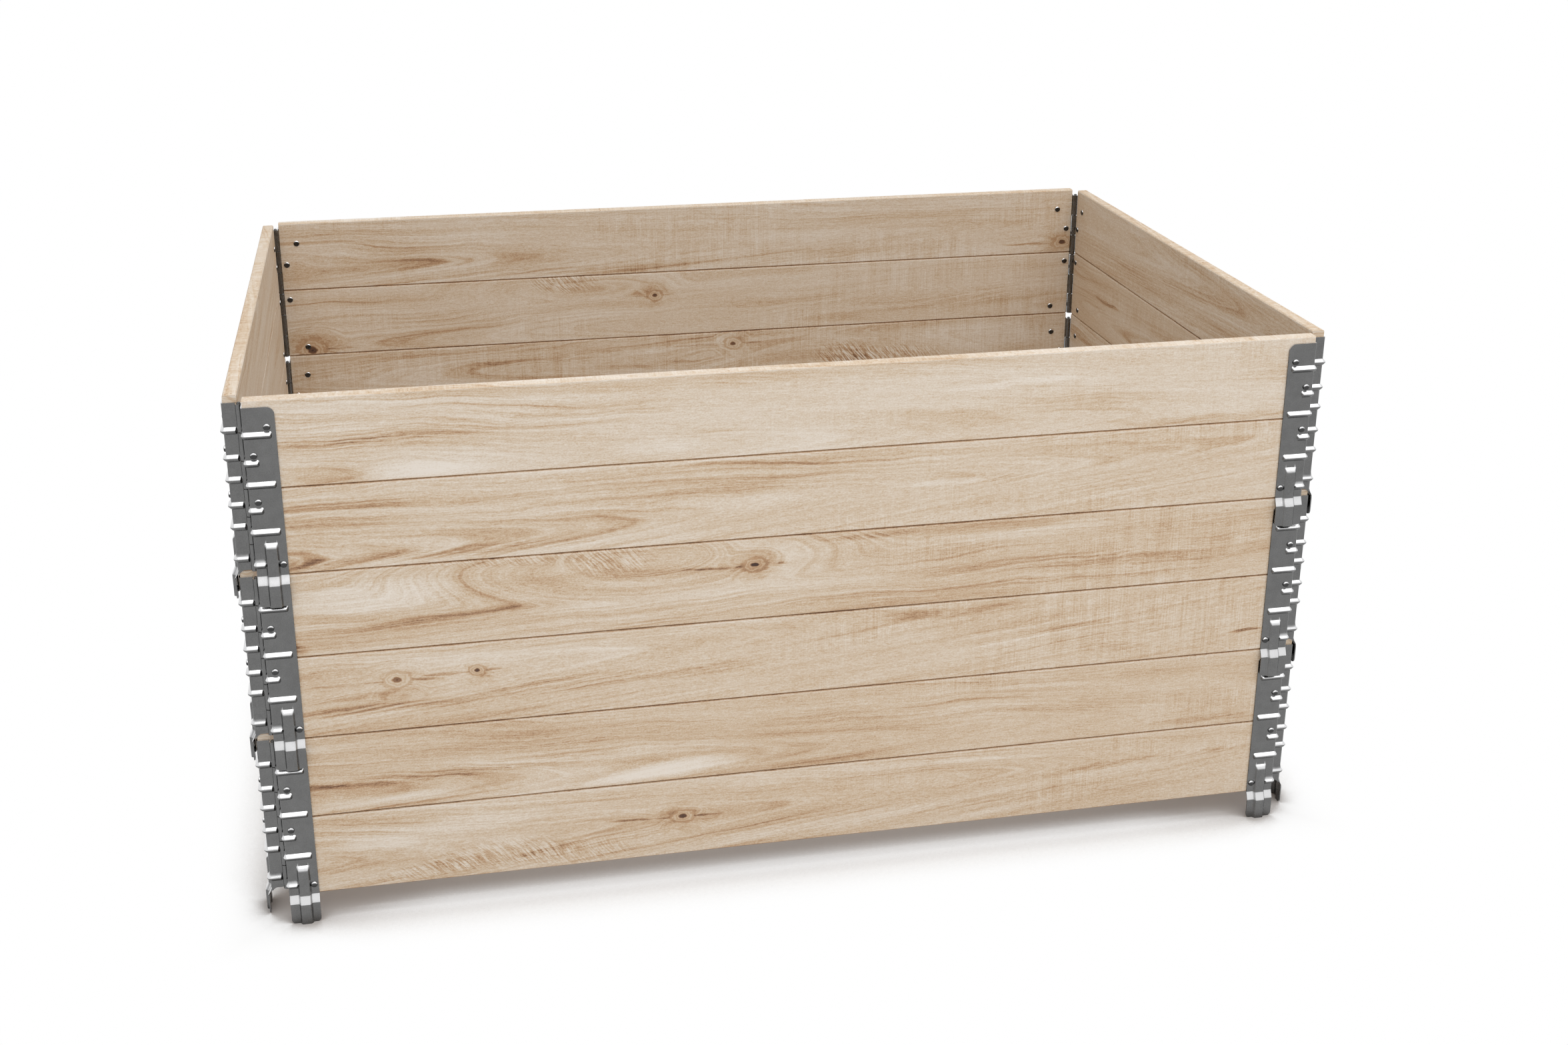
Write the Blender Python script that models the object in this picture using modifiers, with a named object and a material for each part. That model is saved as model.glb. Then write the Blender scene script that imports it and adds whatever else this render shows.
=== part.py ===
"""Wooden pallet collars, three high: each is a folding frame of four hinged panels, two boards high.

Metres, +Z up. The origin is on the floor under the middle of the stack, +X runs along the long side and
the front panels face -Y. A hinge leaf is modelled once for each hand, in a frame whose Z axis is the hinge
pin, whose +X runs along its panel and whose -Y points out of the panel, with z = 0 at the boards' underside.
"""

import math

import bmesh
import bpy
from mathutils import Matrix, Vector

MM = 0.001

# Boards
LENGTH = 1200 * MM
WIDTH = 800 * MM
BOARD_THICKNESS = 14 * MM
BOARD_HEIGHT = 95.5 * MM
BOARD_GAP = 0.4 * MM
BOARD_EASING = 1.2 * MM
COLLAR_HEIGHT = 2 * BOARD_HEIGHT + BOARD_GAP
COLLAR_PITCH = COLLAR_HEIGHT + BOARD_GAP

# Hinge pin, measured from its axis to the panel that it carries
PIN_TO_INNER_FACE = 2.1 * MM
PIN_TO_BOARD_END = 4.2 * MM
PIN_RADIUS = 1.9 * MM
PIN_BOTTOM = 0.2 * MM
PIN_TOP = 185.2 * MM
PIN_SIDES = 8

# Hinge leaf sheet
SHEET = 1.2 * MM
SEAT_GAP = 0.3 * MM
FACE_Y = -(PIN_TO_INNER_FACE + BOARD_THICKNESS + SEAT_GAP + SHEET)
FLANGE_X = PIN_TO_BOARD_END - SEAT_GAP - SHEET
LEAF_TOP = COLLAR_HEIGHT - 7.5 * MM
LEAF_BOTTOM = 0.3 * MM
LEAF_REACH = PIN_TO_BOARD_END + 31 * MM
TOP_CORNER_RADIUS = 8 * MM
FLANGE_EDGE_Y = -3.2 * MM
GUSSET_Y = -10 * MM

# Knuckles, six to a pin, three on each leaf
KNUCKLES = 6
KNUCKLE_PITCH = (LEAF_TOP - LEAF_BOTTOM) / KNUCKLES
KNUCKLE_GAP = 0.6 * MM
KNUCKLE_RADIUS = 3.6 * MM
KNUCKLE_ARC_START = math.radians(20)
KNUCKLE_ARC_END = math.radians(321)
KNUCKLE_ARC_POINTS = 6
KNUCKLE_ARM_INSET = 0.1 * MM
BORE_RADIUS = 2.4 * MM
BORE_SIDES = 6
LEFT_HAND_KNUCKLES = (1, 3, 5)
RIGHT_HAND_KNUCKLES = (0, 2, 4)

# Tongue that drops over the collar below, with the hollow bead that stiffens it
TONGUE_DROP = 33 * MM
JOGGLE_BOTTOM = -8.9 * MM
JOGGLE_OFFSET = 4 * MM
TONGUE_CORNER_RADIUS = 5 * MM
BEAD_START_X = PIN_TO_BOARD_END + 8.6 * MM
BEAD_WIDTH = 14.5 * MM
BEAD_SLOPE = 2 * MM
BEAD_HEIGHT = 3.5 * MM
BEAD_FULL_Z = LEAF_BOTTOM + KNUCKLE_PITCH
BEAD_TOP_Z = 36.4 * MM

# Pressed ribs: how far below the collar's top each begins and ends, and how far it reaches on the face
RIB_HEIGHT_FACE = 3.4 * MM
RIB_HEIGHT_FLANGE = 2.4 * MM
RIB_SLOPE = 1.3 * MM
RIB_END_SLOPE = 0.9 * MM
RIB_ROOT = 0.6 * MM
RIB_FLANGE_END_Y = -4.2 * MM
LONG_RIB = 26.8 * MM
SHORT_RIB = 12 * MM
RIB_BESIDE_BEAD = 9.6 * MM
RIBS = (
    (33.5 * MM, 41.3 * MM, LONG_RIB),
    (63.3 * MM, 71.0 * MM, SHORT_RIB),
    (87.0 * MM, 94.8 * MM, LONG_RIB),
    (115.0 * MM, 122.7 * MM, SHORT_RIB),
    (138.8 * MM, 146.9 * MM, LONG_RIB),
    (174.7 * MM, 182.5 * MM, RIB_BESIDE_BEAD),
)

TIERS = ("lower", "middle", "upper")
PIN_X = LENGTH / 2 - BOARD_THICKNESS - PIN_TO_INNER_FACE
PIN_Y = WIDTH / 2 - BOARD_THICKNESS - PIN_TO_INNER_FACE
CORNERS = {
    "front_left": (-PIN_X, -PIN_Y),
    "front_right": (PIN_X, -PIN_Y),
    "back_right": (PIN_X, PIN_Y),
    "back_left": (-PIN_X, PIN_Y),
}

# Each side: how far it is turned from the front, the corners at its left and right end as seen from
# outside, the distance between its pins, and the corner whose pin it turns about
SIDES = {
    "front": (0, "front_left", "front_right", 2 * PIN_X, "front_left"),
    "right": (90, "front_right", "back_right", 2 * PIN_Y, "front_right"),
    "back": (180, "back_right", "back_left", 2 * PIN_X, "back_left"),
    "left": (270, "back_left", "front_left", 2 * PIN_Y, "front_left"),
}


def clear_scene():
    for obj in list(bpy.data.objects):
        bpy.data.objects.remove(obj, do_unlink=True)


def make_collection(name):
    collection = bpy.data.collections.new(name)
    bpy.context.scene.collection.children.link(collection)
    return collection


def make_material(name, colour, roughness, metallic):
    material = bpy.data.materials.new(name)
    material.use_nodes = True
    shader = material.node_tree.nodes["Principled BSDF"]
    shader.inputs["Base Color"].default_value = (*colour, 1)
    shader.inputs["Roughness"].default_value = roughness
    shader.inputs["Metallic"].default_value = metallic
    return material


def finish_mesh(name, bm, material=None):
    """A mesh data block from bm, with all its faces turned outwards."""
    bmesh.ops.recalc_face_normals(bm, faces=bm.faces)
    mesh = bpy.data.meshes.new(name)
    bm.to_mesh(mesh)
    bm.free()
    if material:
        mesh.materials.append(material)
    return mesh


def place(name, mesh, collection, parent=None, location=(0, 0, 0), turn=0):
    obj = bpy.data.objects.new(name, mesh)
    obj.parent = parent
    obj.location = location
    obj.rotation_euler.z = math.radians(turn)
    collection.objects.link(obj)
    return obj


def board_mesh(length, material):
    """A board lying along X, centred, with its four long edges eased."""
    bm = bmesh.new()
    bmesh.ops.create_cube(bm, size=1)
    bmesh.ops.scale(bm, vec=(length, BOARD_THICKNESS, BOARD_HEIGHT), verts=bm.verts)
    long_edges = [e for e in bm.edges if abs(e.verts[0].co.x - e.verts[1].co.x) > length / 2]
    bmesh.ops.bevel(bm, geom=long_edges, offset=BOARD_EASING, segments=1, affect="EDGES")
    return finish_mesh("board", bm, material)


def pin_mesh(material):
    bm = bmesh.new()
    upright = Matrix.Translation((0, 0, (PIN_TOP + PIN_BOTTOM) / 2))
    bmesh.ops.create_cone(
        bm,
        cap_ends=True,
        segments=PIN_SIDES,
        radius1=PIN_RADIUS,
        radius2=PIN_RADIUS,
        depth=PIN_TOP - PIN_BOTTOM,
        matrix=upright,
    )
    return finish_mesh("hinge_pin", bm, material)


def knuckle_span(index):
    low = LEAF_BOTTOM + index * KNUCKLE_PITCH
    return low, low + KNUCKLE_PITCH


def bead_stations():
    """Across the face: where the bead's side starts, its crest starts and ends, and its far side ends."""
    return (
        BEAD_START_X,
        BEAD_START_X + BEAD_SLOPE,
        BEAD_START_X + BEAD_WIDTH - BEAD_SLOPE,
        BEAD_START_X + BEAD_WIDTH,
    )


def bent_point(across, height):
    """Where a point of the flat blank lies once it is pressed and bent. across is 0 at the bend, negative
    along the flange and positive along the face."""
    x, y = FLANGE_X + max(across, 0), FACE_Y - min(across, 0)
    crest_start, crest_end = bead_stations()[1:3]
    margin = 0.01 * MM
    if crest_start - margin < x < crest_end + margin and height < BEAD_FULL_Z + margin:
        y -= BEAD_HEIGHT
    if across > -margin and height < JOGGLE_BOTTOM + margin:
        y -= JOGGLE_OFFSET
    return Vector((x, y, height))


def in_blank(across, height):
    """Whether the blank has metal at this point."""
    if height < JOGGLE_BOTTOM:
        return across > 0
    return height > LEAF_BOTTOM or across > FACE_Y - GUSSET_Y


def round_corner(bm, x, z, radius):
    """Rounds the corner of the open sheet at this x and z on the face."""
    corner = min(bm.verts, key=lambda v: (v.co.x - x) ** 2 + (v.co.z - z) ** 2)
    bmesh.ops.bevel(bm, geom=[corner], offset=radius, segments=2, profile=0.5, affect="VERTICES")


def sheet_mesh():
    """The pressed and bent sheet as an open surface, its outer side: a flat blank whose unused squares are
    cut away, with the bead, the joggle and the bend given to what is left."""
    across = [FACE_Y - FLANGE_EDGE_Y, FACE_Y - GUSSET_Y, 0]
    across += [x - FLANGE_X for x in (*bead_stations(), LEAF_REACH)]
    up = [-TONGUE_DROP, JOGGLE_BOTTOM, LEAF_BOTTOM, BEAD_FULL_Z, BEAD_TOP_Z, LEAF_TOP]
    bm = bmesh.new()
    bmesh.ops.create_grid(bm, x_segments=len(across) - 1, y_segments=len(up) - 1, size=0.5)
    for vert in bm.verts:
        column = round((vert.co.x + 0.5) * (len(across) - 1))
        row = round((vert.co.y + 0.5) * (len(up) - 1))
        vert.co = (across[column], 0, up[row])
    outside = []
    for face in bm.faces:
        centre = face.calc_center_median()
        if not in_blank(centre.x, centre.z):
            outside.append(face)
    bmesh.ops.delete(bm, geom=outside, context="FACES")
    for vert in bm.verts:
        # The flange's underside slopes down to the tongue
        if vert.co.z < LEAF_BOTTOM - 1 * MM:
            vert.co.x = max(vert.co.x, 0)
        vert.co = bent_point(vert.co.x, vert.co.z)
    bmesh.ops.remove_doubles(bm, verts=bm.verts, dist=0.01 * MM)
    bmesh.ops.recalc_face_normals(bm, faces=bm.faces)
    if min(bm.faces, key=lambda f: f.calc_center_median().y).normal.y > 0:
        bmesh.ops.reverse_faces(bm, faces=bm.faces)
    bmesh.ops.dissolve_limit(
        bm, angle_limit=math.radians(1), use_dissolve_boundaries=False, verts=bm.verts, edges=bm.edges
    )
    round_corner(bm, LEAF_REACH, LEAF_TOP, TOP_CORNER_RADIUS)
    round_corner(bm, LEAF_REACH, -TONGUE_DROP, TONGUE_CORNER_RADIUS)
    round_corner(bm, FLANGE_X, -TONGUE_DROP, TONGUE_CORNER_RADIUS)
    mesh = bpy.data.meshes.new("hinge_sheet")
    bm.to_mesh(mesh)
    bm.free()
    return mesh


def rib_section(x, y, low, high, out, inset=(0, 0)):
    """Four corners of a rib's cross-section at one place on its path. out points away from the sheet, and
    inset shortens the crest at the rib's end."""
    base = Vector((x, y, 0)) - Vector((*out, 0)).normalized() * RIB_ROOT
    crest = Vector((x + out[0] + inset[0], y + out[1] + inset[1], 0))
    return [
        base + Vector((0, 0, low)),
        crest + Vector((0, 0, low + RIB_SLOPE)),
        crest + Vector((0, 0, high - RIB_SLOPE)),
        base + Vector((0, 0, high)),
    ]


def rib_mesh(top_depth, bottom_depth, reach):
    """A rib that runs from the face round the bend and along the flange: a loft through four sections."""
    low = COLLAR_HEIGHT - bottom_depth
    high = COLLAR_HEIGHT - top_depth
    face_out = (0, -RIB_HEIGHT_FACE)
    flange_out = (-RIB_HEIGHT_FLANGE, 0)
    sections = [
        rib_section(PIN_TO_BOARD_END + reach, FACE_Y, low, high, face_out, (-RIB_END_SLOPE, 0)),
        rib_section(FLANGE_X + RIB_ROOT, FACE_Y, low, high, face_out, (-RIB_ROOT, 0)),
        rib_section(FLANGE_X, FACE_Y + RIB_ROOT, low, high, flange_out, (0, -RIB_ROOT)),
        rib_section(FLANGE_X, RIB_FLANGE_END_Y, low, high, flange_out, (0, -RIB_END_SLOPE)),
    ]
    bm = bmesh.new()
    loops = [[bm.verts.new(point) for point in section] for section in sections]
    for near, far in zip(loops, loops[1:]):
        for i in range(4):
            j = (i + 1) % 4
            bm.faces.new((near[i], near[j], far[j], far[i]))
    bm.faces.new(loops[0])
    bm.faces.new(loops[-1])
    bmesh.ops.remove_doubles(bm, verts=bm.verts, dist=0.01 * MM)
    return finish_mesh("hinge_rib", bm)


def knuckle_mesh(index):
    """A knuckle rolled round the pin, with the arm that joins it to the flange, before the bore is cut."""
    low, high = knuckle_span(index)
    arm_inner = FLANGE_X + KNUCKLE_ARM_INSET
    arm_outer = FLANGE_X + SHEET - KNUCKLE_ARM_INSET
    arm_root = FLANGE_EDGE_Y - RIB_ROOT
    bm = bmesh.new()
    outline = [Vector((arm_inner, arm_root, 0)), Vector((arm_outer, arm_root, 0)), Vector((arm_outer, 0, 0))]
    for step in range(KNUCKLE_ARC_POINTS):
        turned = step / (KNUCKLE_ARC_POINTS - 1)
        angle = KNUCKLE_ARC_START + turned * (KNUCKLE_ARC_END - KNUCKLE_ARC_START)
        outline.append(Vector((math.cos(angle), math.sin(angle), 0)) * KNUCKLE_RADIUS)
    base = bm.faces.new([bm.verts.new(point) for point in outline])
    raised = bmesh.ops.extrude_face_region(bm, geom=[base])
    top = [item for item in raised["geom"] if isinstance(item, bmesh.types.BMVert)]
    bmesh.ops.translate(bm, vec=(0, 0, high - low - KNUCKLE_GAP), verts=top)
    bmesh.ops.translate(bm, vec=(0, 0, low + KNUCKLE_GAP / 2), verts=bm.verts)
    return finish_mesh("hinge_knuckle", bm)


def bore_mesh():
    bm = bmesh.new()
    upright = Matrix.Translation((0, 0, COLLAR_HEIGHT / 2))
    bmesh.ops.create_cone(
        bm,
        cap_ends=True,
        segments=BORE_SIDES,
        radius1=BORE_RADIUS,
        radius2=BORE_RADIUS,
        depth=COLLAR_HEIGHT * 1.2,
        matrix=upright,
    )
    return finish_mesh("hinge_bore", bm)


def leaf_mesh(name, knuckles, mirrored, material):
    """One hinge leaf: the sheet given its thickness, its ribs and knuckles joined on and the bore cut."""
    workshop = make_collection("leaf_workshop")
    sheet = place(name, sheet_mesh(), workshop)
    thickness = sheet.modifiers.new("thickness", "SOLIDIFY")
    thickness.thickness = SHEET
    thickness.offset = -1
    thickness.use_even_offset = True
    thickness.use_quality_normals = True
    joined = [rib_mesh(*rib) for rib in RIBS] + [knuckle_mesh(index) for index in knuckles]
    for mesh in joined:
        union = sheet.modifiers.new(mesh.name, "BOOLEAN")
        union.operation = "UNION"
        union.object = place(mesh.name, mesh, workshop)
    bore = sheet.modifiers.new("bore", "BOOLEAN")
    bore.operation = "DIFFERENCE"
    bore.object = place("bore", bore_mesh(), workshop)
    bpy.context.view_layer.update()
    evaluated = sheet.evaluated_get(bpy.context.evaluated_depsgraph_get())
    bm = bmesh.new()
    bm.from_mesh(bpy.data.meshes.new_from_object(evaluated))
    bmesh.ops.remove_doubles(bm, verts=bm.verts, dist=0.01 * MM)
    bmesh.ops.dissolve_limit(
        bm, angle_limit=math.radians(0.5), use_dissolve_boundaries=False, verts=bm.verts, edges=bm.edges
    )
    if mirrored:
        bmesh.ops.scale(bm, vec=(-1, 1, 1), verts=bm.verts)
    for obj in list(workshop.objects):
        bpy.data.objects.remove(obj, do_unlink=True)
    bpy.data.collections.remove(workshop)
    return finish_mesh(name, bm, material)


def build():
    clear_scene()
    collars = make_collection("pallet_collars")
    wood = make_material("sawn_softwood", (0.66, 0.53, 0.42), 0.7, 0)
    zinc = make_material("galvanised_sheet", (0.28, 0.29, 0.29), 0.42, 1)
    steel = make_material("pin_steel", (0.12, 0.12, 0.12), 0.4, 1)
    leaf_left = leaf_mesh("hinge_leaf_left", LEFT_HAND_KNUCKLES, False, zinc)
    leaf_right = leaf_mesh("hinge_leaf_right", RIGHT_HAND_KNUCKLES, True, zinc)
    pin = pin_mesh(steel)
    boards = {span: board_mesh(span - 2 * PIN_TO_BOARD_END, wood) for span in (2 * PIN_X, 2 * PIN_Y)}

    for level, tier in enumerate(TIERS):
        tier_empty = place(f"{tier}_collar", None, collars)
        tier_empty.location.z = TONGUE_DROP + level * COLLAR_PITCH
        for side, (turn, left, right, span, pivot) in SIDES.items():
            panel = place(f"{tier}_{side}_panel", None, collars, tier_empty, (*CORNERS[pivot], 0), turn)
            to_panel = Matrix.Rotation(math.radians(-turn), 3, "Z")

            def in_panel(x, y, z=0):
                return to_panel @ (Vector((x, y, z)) - Vector((*CORNERS[pivot], 0)))

            left_end = in_panel(*CORNERS[left])
            right_end = in_panel(*CORNERS[right])
            middle = (left_end + right_end) / 2
            board_y = middle.y - PIN_TO_INNER_FACE - BOARD_THICKNESS / 2
            for row, height in (("bottom", 0), ("top", BOARD_HEIGHT + BOARD_GAP)):
                centre = (middle.x, board_y, height + BOARD_HEIGHT / 2)
                place(f"{tier}_{side}_board_{row}", boards[span], collars, panel, centre)
            place(f"{tier}_{side}_hinge_leaf_left", leaf_left, collars, panel, left_end)
            place(f"{tier}_{side}_hinge_leaf_right", leaf_right, collars, panel, right_end)
        for corner, (x, y) in CORNERS.items():
            place(f"{tier}_hinge_pin_{corner}", pin, collars, tier_empty, (x, y, 0))


build()
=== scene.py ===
import math

import bmesh
import bpy
from mathutils import Matrix, Vector


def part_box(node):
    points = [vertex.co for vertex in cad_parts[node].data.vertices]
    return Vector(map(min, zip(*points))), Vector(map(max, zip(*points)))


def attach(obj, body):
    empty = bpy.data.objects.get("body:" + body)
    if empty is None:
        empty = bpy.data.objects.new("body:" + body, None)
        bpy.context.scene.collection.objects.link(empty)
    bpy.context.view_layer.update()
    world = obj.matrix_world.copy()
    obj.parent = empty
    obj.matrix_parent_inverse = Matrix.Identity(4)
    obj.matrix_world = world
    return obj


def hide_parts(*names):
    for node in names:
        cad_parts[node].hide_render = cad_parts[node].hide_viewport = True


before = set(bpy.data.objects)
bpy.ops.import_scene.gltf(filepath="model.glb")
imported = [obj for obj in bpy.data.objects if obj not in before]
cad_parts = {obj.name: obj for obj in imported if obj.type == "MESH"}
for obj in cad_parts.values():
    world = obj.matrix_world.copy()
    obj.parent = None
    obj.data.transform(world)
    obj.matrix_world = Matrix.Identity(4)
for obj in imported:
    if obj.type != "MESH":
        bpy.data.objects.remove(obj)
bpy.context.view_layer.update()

MM = 0.001
TIERS = ("lower", "middle", "upper")
ROWS = ("bottom", "top")

# Each side: how far it is turned from the front, and the corners at its left and right end from outside
SIDES = {
    "front": (0, "front_left", "front_right"),
    "right": (90, "front_right", "back_right"),
    "back": (180, "back_right", "back_left"),
    "left": (270, "back_left", "front_left"),
}

# Camera
LENS_MM = 42.849
SENSOR_MM = 36
CAMERA_SHIFT = (0.0046, -0.0529)
CAMERA_PLACE = (-0.4084, -2.2372, 1.2013)
CAMERA_TURN_DEG = (70.263, -0.072, -11.498)

# Light: a large soft box high above the stack, in front of it and a little to the right, and a dim sky
SOFTBOX_PLACE = (0.35, -1.2, 3.0)
SOFTBOX_AIM = (0.1, 0.0, 0.2)
SOFTBOX_SIZE = (4.2, 3.6)
SOFTBOX_WATTS = 76
SKY_LEVEL = 0.6

# Floor: white where it is open. Where something stands closer than the reach it shows its lit shading, and
# its colour is darkened towards the under colour as painted shade. Inside the stack's footprint the painted
# shade comes more easily and the floor stays a little grey.
FLOOR_RADIUS = 6
FLOOR_SIDES = 96
FLOOR_COLOUR = (0.92, 0.92, 0.92)
FLOOR_PAINTED_SHADE = (0.52, 0.49, 0.47)
FLOOR_SHADE_REACH = 0.19
FLOOR_OPEN = (0.75, 0.97)
FOOTPRINT = (0.6, 0.4)
FOOTPRINT_FADE = (-0.06, 0.08)
OUTSIDE_CLEARER = 0.3
INSIDE_WHITENESS = 0.5
SHADE_SAMPLES = 16

# Hinge leaf, in millimetres, in a frame whose Z is the pin, +X runs along the panel and -Y points outwards
COLLAR_HEIGHT = 191.4
COLLAR_PITCH = 191.8
BOARD_THICKNESS = 14
PIN_TO_INNER_FACE = 2.1
PIN_TO_BOARD_END = 4.2
SEAT_GAP = 0.3
SHEET = 1.2
FACE_Y = -(PIN_TO_INNER_FACE + BOARD_THICKNESS + SEAT_GAP + SHEET)
FLANGE_X = PIN_TO_BOARD_END - SEAT_GAP - SHEET
BEND_RADIUS = 1.8
BEND_LENGTH = BEND_RADIUS * math.pi / 2
FACE_X = FLANGE_X + BEND_RADIUS
FLANGE_EDGE_Y = -3.2
LEAF_TOP = COLLAR_HEIGHT - 7.5
LEAF_BOTTOM = 0.3
LEAF_REACH = PIN_TO_BOARD_END + 31
TOP_CORNER = 8
CORNER_HOLD = 1.3
EDGE_ROUNDING = 0.38

KNUCKLES = 6
KNUCKLE_PITCH = (LEAF_TOP - LEAF_BOTTOM) / KNUCKLES
KNUCKLE_GAP = 1.0
KNUCKLE_RADIUS = 3.6
KNUCKLE_END_DEG = 314
KNUCKLE_STEPS = 16
FLANGE_STEPS = 12
BEND_STEPS = 6
FACE_STEPS = 44
CLOSEST_ROWS = 0.08
LEAF_HANDS = {"left": (1, 3, 5), "right": (0, 2, 4)}

TONGUE_BOTTOM = -33
TONGUE_CORNER = 5
TONGUE_SIDE = 1.2
TONGUE_FLAT_FROM = -7
TONGUE_FLAT_OVER = 6
JOGGLE_BOTTOM = -8.9
JOGGLE_OFFSET = 4
JOGGLE_EASE = 0.12
GUSSET_TOP_Y = -10
GUSSET_BOTTOM = -9.9

BEAD_FROM_X = PIN_TO_BOARD_END + 8.1
BEAD_TO_X = PIN_TO_BOARD_END + 23.5
BEAD_TOP = 36.8
BEAD_SLOPE = 3.1
BEAD_TOP_SLOPE = 7.5
BEAD_HEIGHT = 3.5
BEAD_TOP_POWER = 2.2

# Ribs: depth of the upper and lower edge below the collar's top, and reach along the face
RIBS = (
    (33.5, 41.3, 26.8),
    (63.3, 71.0, 12.0),
    (87.0, 94.8, 26.8),
    (115.0, 122.7, 12.0),
    (138.8, 146.9, 26.8),
    (174.7, 182.5, 9.6),
)
RIB_HEIGHT_FACE = 3.4
RIB_HEIGHT_FLANGE = 2.4
RIB_FLANGE_END_Y = -4.0

# Places on the flat blank, measured from where the face begins: negative on the bend and the flange
BLANK_FLANGE_END = -BEND_LENGTH - (FLANGE_EDGE_Y - FACE_Y - BEND_RADIUS)
BLANK_RIB_END = -BEND_LENGTH - (RIB_FLANGE_END_Y - FACE_Y - BEND_RADIUS)
BLANK_GUSSET_TOP = -(BEND_LENGTH + GUSSET_TOP_Y - FACE_Y - BEND_RADIUS)
BLANK_REACH = LEAF_REACH - FACE_X
CREST_ROUNDING = 0.42
RIB_CAP = 2.2
RIB_END_POWER = 3

# The lowest rib rises out of the sheet in a soft fillet this long
LOW_RIB_FILLET = 6
LOW_RIB_FILLET_HEIGHT = 0.85
LOW_RIB_FILLET_POWER = 2.2

# Rows of the mesh across half a rib, as shares of its half-height
RIB_STATIONS = (0.0, 0.04, 0.11, 0.21, 0.34, 0.5, 0.68, 0.85, 0.96, 1.0, 1.08, 1.17)

# Painted highlight: the zinc is paler on slopes that face up, starting at the first of these values and
# fully from the second
PAINTED_HIGHLIGHT_ZINC = (0.72, 0.72, 0.725)
PAINTED_HIGHLIGHT_SLOPES = (0.12, 0.42)

# Rivets: distance from the board's end and depth below the collar's top
RIVETS = ((22.4, 28.7), (7.0, 58.7), (7.2, 109.0), (26.3, 179.0))
RIVET_RADIUS = 3.65
RIVET_RISE = 2.5
RIVET_INNER_RADIUS = 4.0
RIVET_INNER_RISE = 1.6
RIVET_SIDES = 32

# Hinge pins
PIN_RADIUS = 1.9
PIN_BOTTOM = 0.2
PIN_TOP = 185.2
PIN_EASE = 0.7
PIN_SIDES = 24

# Half the outer length and width of a collar, to the boards' faces
HALF_LENGTH = 600
HALF_WIDTH = 400

# Zinc and steel colours, from the duller to the brighter
SHEET_ZINC = ((0.132, 0.132, 0.131), (0.19, 0.19, 0.189))
RIVET_ZINC = ((0.045, 0.045, 0.045), (0.075, 0.075, 0.075))
PIN_STEEL = ((0.10, 0.10, 0.10), (0.17, 0.165, 0.16))

# Wood: colours from the palest to a knot's core, and where on the tone scale each lies
WOOD_TONE = 0.30
TONE_SCALE = 0.8
LIVELIER_TO_LEFT = 0.0003
WOOD_COLOURS = (
    (0.0, (0.76, 0.69, 0.61)),
    (0.18, (0.68, 0.585, 0.48)),
    (0.36, (0.585, 0.448, 0.31)),
    (0.56, (0.45, 0.275, 0.15)),
    (0.78, (0.20, 0.095, 0.045)),
    (1.0, (0.045, 0.018, 0.01)),
)

# Dirt and painted shade in the seams: darkest and clear this far from a board's lower and upper edge, and
# how dark.
# A painted highlight, a pale line, follows the eased upper edge, this far below it.
SEAM_BELOW, SEAM_BELOW_DEPTH = (0.4, 1.5), 0.5
SEAM_ABOVE, SEAM_ABOVE_DEPTH = (0.3, 1.0), 0.34
EASED_EDGE, EASED_EDGE_REACH, EASED_EDGE_HIGHLIGHT = 1.8, 0.9, 0.16

# Darker towards a board's ends: from this far before the end place to this far after it, and how dark
END_PLACE_INSET = BOARD_THICKNESS + PIN_TO_INNER_FACE - PIN_TO_BOARD_END
END_DARKER_BEFORE, END_DARKER_AFTER, END_DARKER_DEPTH = 10, 2, 0.1

# Noise in the wood: feature lengths in mm, detail, roughness and seed. The lengths are along, up and
# through the board; in ring noise the second is across the growth rings. Board noise adds the board's number
# to its seed. Ring and fibre noise take the number, times SEED_STEP, as the third place.
BOARD_NOISE = {
    "sway": ((230, 60, 40), 2, 0.5, 0),
    "ripple": ((46, 13, 13), 2, 0.5, 31),
    "stripe": ((330, 26, 40), 2, 0.5, 7),
    "cloud": ((90, 30, 30), 3, 0.55, 17),
    "lively": ((300, 60, 60), 1, 0.5, 23),
    "weft": ((14, 90, 90), 2, 0.6, 3),
    "sawn": ((200, 60, 60), 1, 0.5, 5),
}
RING_NOISE = {
    "broad": ((420, 11, 1), 2, 0.5, 1),
    "lines": ((260, 2.6, 1), 3, 0.6, 2),
    "veins": ((330, 4.2, 1), 1, 0.5, 3),
}
FIBRE_NOISE = {
    "fibre": ((16, 0.6, 1), 3, 0.7, 4),
    "pores": ((5.5, 0.5, 1), 1, 0.5, 5),
    "fuzz": ((2.0, 0.9, 1), 1, 0.6, 9),
    "strand": ((8, 1.3, 1), 2, 0.65, 10),
}
SAW_NOISE = ((0.9, 60, 60), 2, 0.6, 8)
RUFFLE_NOISE = ((2.6, 20, 1), 3, 0.62, 6)
SEED_STEP = 3.7

# How far each noise swings the wood's tone, and how far two of them bend the grain, in mm
SWING = {
    "broad": 0.34, "lines": 0.42, "fibre": 0.36, "strand": 0.42, "fuzz": 0.5, "cloud": 0.14,
    "saw": 0.5, "weft": 0.34, "sway": 34, "ripple": 4,
}
VEIN_DEPTH = 0.13
STRIPE_DEPTH = 0.12
HEART_SOFTNESS = 160
SAW_FADE = 150
RUFFLE_BUMP = 0.12
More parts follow.
